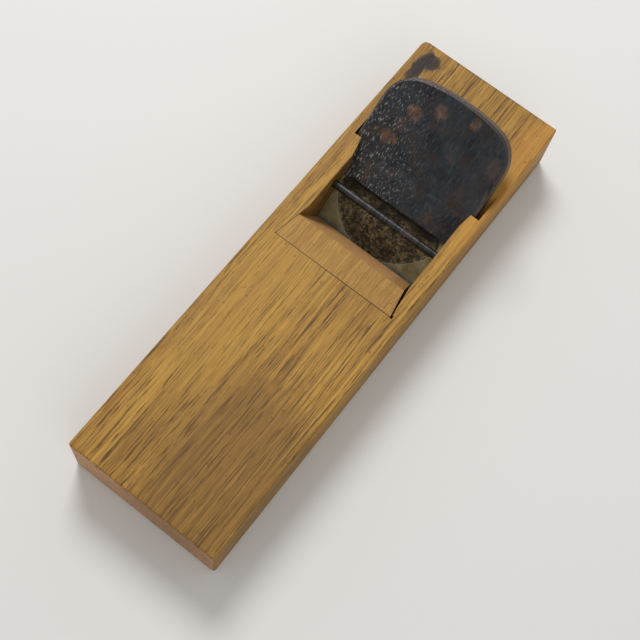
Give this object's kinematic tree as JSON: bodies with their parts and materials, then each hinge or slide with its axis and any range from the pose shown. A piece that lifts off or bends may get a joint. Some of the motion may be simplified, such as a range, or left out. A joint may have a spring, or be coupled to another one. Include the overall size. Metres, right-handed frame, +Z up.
{
  "type": "japanese hand plane",
  "caption": "Old oak Japanese hand plane with a laminated wedge blade, a dovetailed mouth block and a steel cross rod.",
  "frame": {"origin": "middle of the sole, under the middle of the body block", "axes": "+Y along the block to its head, the end where the blade stands out; +X to the right of someone who looks along +Y; +Z up from the sole"},
  "size_m": [0.08, 0.265, 0.0582],
  "materials": {
    "oak_body": "oiled, worn and stained",
    "oak_insert": "fine-grained, oiled",
    "rod_steel": "dull, lightly rusted",
    "blade_iron": "forged black, with rust spots",
    "blade_steel": "ground hollow, rusted"
  },
  "bodies": {
    "stock": {"body_block": "oak_body", "mouth_insert": "oak_insert", "retaining_rod": "rod_steel"},
    "blade": {"blade_iron": "blade_iron", "blade_steel": "blade_steel"}
  },
  "joints": [
    {"name": "blade_slide", "type": "slide", "parent": "stock", "child": "blade", "axis": [0, 0.7938, 0.6082], "range_m": [-0.0016, 0.07]}
  ]
}
